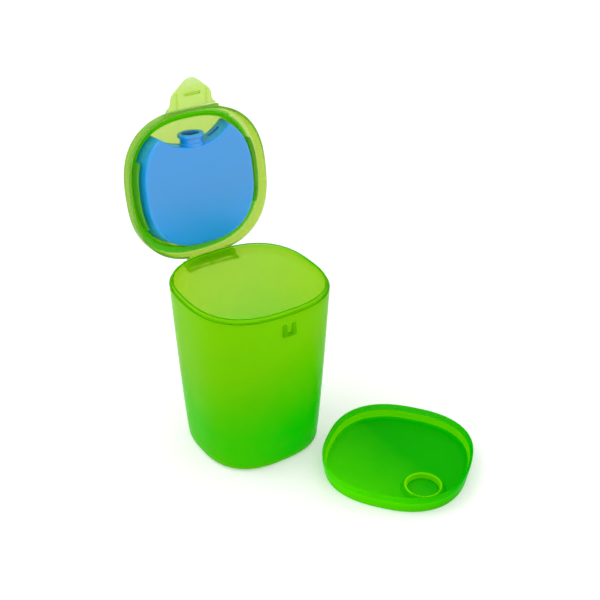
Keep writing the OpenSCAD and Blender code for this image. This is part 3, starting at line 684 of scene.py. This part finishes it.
def packRing(inset, grow, height):
    # the plan less a round hollow at the front, with rounded horns where the two meet
    horn, hollow = pack["horn"], pack["hollowR"] + grow

    def side(turn):
        share = pack["frontTaper"] if turn < 0 else pack["backTaper"]
        return planPoint(packX - inset, packY - inset * share, lid["power"], turn, 0).to_2d()

    def hornMiddle(turn):
        run = side(turn + 0.001) - side(turn - 0.001)
        return side(turn) - Vector((run.y, -run.x)).normalized() * horn

    low, high = -math.pi / 2, 0.0
    for _ in range(40):
        mid = (low + high) / 2
        if (hornMiddle(mid) - hollowMid).length < hollow + horn:
            low = mid
        else:
            high = mid
    start = (low + high) / 2
    middle = hornMiddle(start)
    first = side(start) - middle
    last = (hollowMid - middle).normalized() * horn
    points = [side(start + (math.pi / 2 - start) * i / 70) for i in range(71)]
    half = [middle + (first.lerp(last, i / 8)).normalized() * horn for i in range(9)][1:]
    reachOut = math.atan2(half[-1].x, half[-1].y - hollowMid.y)
    half += [hollowMid + Vector((math.sin(a), math.cos(a))) * hollow for a in (reachOut * (1 - i / 24) for i in range(1, 25))]
    right = list(reversed(half)) + points  # from the middle of the hollow to the back's middle
    ring = right + [Vector((-p.x, p.y)) for p in reversed(right[1:-1])]
    return [Vector((p.x, p.y, height)) for p in ring]


def packBody():
    r, back, face = pack["round"], packBack, packBack - pack["thick"]
    soft, edge = pack["faceRound"], pack["hollowRound"]
    rings = []
    for i in range(9):
        a = math.pi / 2 * i / 8
        rings.append(packRing(pack["taper"] + soft * (1 - math.sin(a)), edge * (1 - math.sin(a)), face + r * (1 - math.cos(a))))
    for i in range(1, 12):
        t = i / 12
        rings.append(packRing(pack["taper"] * (1 - t), 0, face + r + (pack["thick"] - 2 * r) * t))
    for i in range(8, -1, -1):
        a = math.pi / 2 * i / 8
        rings.append(packRing(r * (1 - math.sin(a)), edge * (1 - math.sin(a)), back - r * (1 - math.cos(a))))
    return asObject("icePackShell", growRings(rings))


def lathe(profile, steps=96):
    # profile is (radius, distance along the neck's axis from the pack's middle)
    rings = []
    for radius, along in profile:
        ring = []
        for i in range(steps):
            a = 2 * math.pi * i / steps
            ring.append(Vector((radius * math.cos(a), -along, neckZ + radius * math.sin(a))))
        rings.append(ring)
    return growRings(rings)


def neckParts():
    end = pack["hollowY"] + pack["neckLength"]
    neck, lip, bore = pack["neck"] / 2, pack["lip"] / 2, pack["bore"] / 2
    foot = pack["hollowY"] + 1.6
    root = (lip + neck) / 2
    outer = roundedSection([
        (0.5, pack["hollowY"] - 2.4, 0), (root, pack["hollowY"] - 2.4, 0), (root, foot, 0.5),
        (neck, foot + 0.2, 0.4), (neck, end - pack["lipThick"] - 0.2, 0.4),
        (lip, end - pack["lipThick"], 0.7), (lip, end, 0.9), (bore, end, 0.5), (bore, end - 5.5, 0), (0.5, end - 5.5, 0),
    ])
    return [("UNION", lathe([(p.x, p.y) for p in outer]))]


def slotCut(s):
    halfLong, halfWide = pack["slotLength"] / 2, pack["slotWidth"] / 2
    outline = []
    for e in (1, -1):
        for i in range(13):
            a = -math.pi / 2 + math.pi * i / 12 if e > 0 else math.pi / 2 + math.pi * i / 12
            outline.append((e * (halfLong - halfWide) + halfWide * math.cos(a), halfWide * math.sin(a)))
    mesh = prism(outline, -2, pack["slotDeep"])
    bmesh.ops.rotate(mesh, verts=mesh.verts, cent=(0, 0, 0), matrix=Matrix.Rotation(-math.pi / 2, 3, "X"))
    bmesh.ops.translate(mesh, verts=mesh.verts, vec=(0, pack["hollowR"], 0))
    bmesh.ops.rotate(mesh, verts=mesh.verts, cent=(0, 0, 0), matrix=Matrix.Rotation(-s * math.radians(pack["slotAngle"]), 3, "Z"))
    bmesh.ops.translate(mesh, verts=mesh.verts, vec=(0, hollowMid.y, packBack - pack["slotBack"]))
    bmesh.ops.recalc_face_normals(mesh, faces=mesh.faces[:])
    return ("DIFFERENCE", mesh)


# painted shade: the pack's sides, turned away from its face and back, are marked for the deep colour
def packSideShade(middle, normal):
    return min(max((0.92 - abs(normal.z)) / 0.3, 0), 1)


packPiece = markDeepFaces(combine(packBody(), neckParts() + [slotCut(-1), slotCut(1)]), packSideShade)
packPiece = finishPiece(opened(packPiece), "cold_pack", "ice_pack_shell", packPlastic)

plugEnd = pack["hollowY"] + pack["neckLength"] - pack["plugSink"]
plugR = pack["bore"] / 2 - pack["plugGap"]
plugProfile = roundedSection([
    (0.5, plugEnd - pack["plug"], 0), (plugR, plugEnd - pack["plug"], 0.4), (plugR, plugEnd, 0.4),
    (plugR - pack["plugWall"], plugEnd, 0.4), (plugR - pack["plugWall"], plugEnd - pack["plug"] + pack["plugWall"], 0.6),
    (0.5, plugEnd - pack["plug"] + pack["plugWall"], 0),
])
plugPiece = finishPiece(opened(asObject("icePackPlug", lathe([(p.x, p.y) for p in plugProfile]))), "cold_pack", "ice_pack_plug", plugPlastic)


# Snack tray

tray = {
    "width": 100.8, "depth": 101.4, "height": 12.8, "power": 2.46, "wall": 1.4, "band": 4, "step": 0.7,
    "draft": 0.9, "foot": 1.6, "side": -53, "turn": 37.9, "apart": 3.8,
    "boss": 31, "bossTop": 25.4, "bossHeight": 3.6, "well": 22.4, "wellFloor": 1.2, "bossInset": 2.5,
}


def trayRing(inset, height):
    return planRing(tray["width"] / 2 - inset, tray["depth"] / 2 - inset, tray["power"], height)


def roundRing(x, y, radius, height, steps=120):
    return [Vector((x + radius * math.cos(2 * math.pi * i / steps), y + radius * math.sin(2 * math.pi * i / steps), height)) for i in range(steps)]


def trayBody():
    w, step, draft, h = tray["wall"], tray["step"], tray["draft"], tray["height"]
    base = tray["foot"] + w
    corners = [
        (14, tray["foot"], 0), (step + draft + 3 * w, tray["foot"], 0.4), (step + draft + 3 * w - tray["foot"], 0, 0.4),
        (step + draft, 0, 1.3), (step, h - tray["band"] - 0.3, 0.2), (0.15, h - tray["band"], 0.2),
        (0, h, 0.45), (w, h, 0.45), (w, h - tray["band"] + 0.8, 0.5), (step + w, h - tray["band"], 0.5),
        (step + draft + w, base, 1.5), (14, base, 0),
    ]
    return asObject("snackTray", growRings([trayRing(*p) for p in roundedSection(corners)]))


def bossParts():
    w = tray["wall"]
    inX = tray["width"] / 2 - tray["step"] - w
    inY = tray["depth"] / 2 - tray["step"] - w
    far = planPoint(inX, inY, tray["power"], math.atan2(1 / inY, 1 / inX), 0).length - tray["bossInset"] - tray["boss"] / 2
    x = y = -far * math.cos(math.pi / 4)
    base = tray["foot"] + w
    outer, top, well = tray["boss"] / 2, tray["bossTop"] / 2, tray["well"] / 2
    cone = roundedSection([
        (0.5, 0.2, 0), (top, 0.2, 0.3), (top, base - w / 2, 0), (outer + 2, base - w / 2, 0), (outer + 2, base - 0.02, 0),
        (outer, base, 1.2), (top, base + tray["bossHeight"], 0.6), (0.5, base + tray["bossHeight"], 0),
    ])
    hole = roundedSection([
        (0.5, 0.2 + tray["wellFloor"], 0), (well - 0.3, 0.2 + tray["wellFloor"], 1.4), (well, base + tray["bossHeight"] - 0.4, 0),
        (well + 0.5, base + tray["bossHeight"] + 0.02, 0), (well + 0.5, base + 9, 0), (0.5, base + 9, 0),
    ])
    return [
        ("UNION", growRings([roundRing(x, y, p.x, p.y) for p in cone])),
        ("DIFFERENCE", growRings([roundRing(x, y, p.x, p.y) for p in hole])),
    ]


# painted light: the walls between floor and band take the lime deep colour, lighter than the floor, as light falls
# through them; outside faces far from the middle take less
def trayWallLight(middle, normal):
    low, high = tray["foot"] + tray["wall"], tray["height"] - tray["band"]
    if not low < middle.z < high or (abs(normal.z) > 0.6 and middle.z < low + tray["bossHeight"] - 0.8):
        return 0.0
    outside = middle.x * normal.x + middle.y * normal.y > 0
    return 0.2 if outside and Vector(middle[:2]).length > tray["width"] * 0.4 else 0.7


trayPiece = markDeepFaces(combine(trayBody(), bossParts()), trayWallLight)
way = math.radians(tray["side"])
farOut = planPoint(cup["width"] / 2, cup["depth"] / 2, cup["power"], way, 0).length + tray["apart"]
farOut += planPoint(tray["width"] / 2, tray["depth"] / 2, tray["power"], way + math.pi - math.radians(tray["turn"]), 0).length
trayPiece.data.transform(Matrix.Translation((farOut * math.cos(way), farOut * math.sin(way), 0)) @ Matrix.Rotation(math.radians(tray["turn"]), 4, "Z"))
trayPiece = finishPiece(trayPiece, "tray", "snack_tray", trayPlastic)

for name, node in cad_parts.items():
    if name == "cooling_gel":
        node.data.materials.clear()
        node.data.materials.append(coolant)
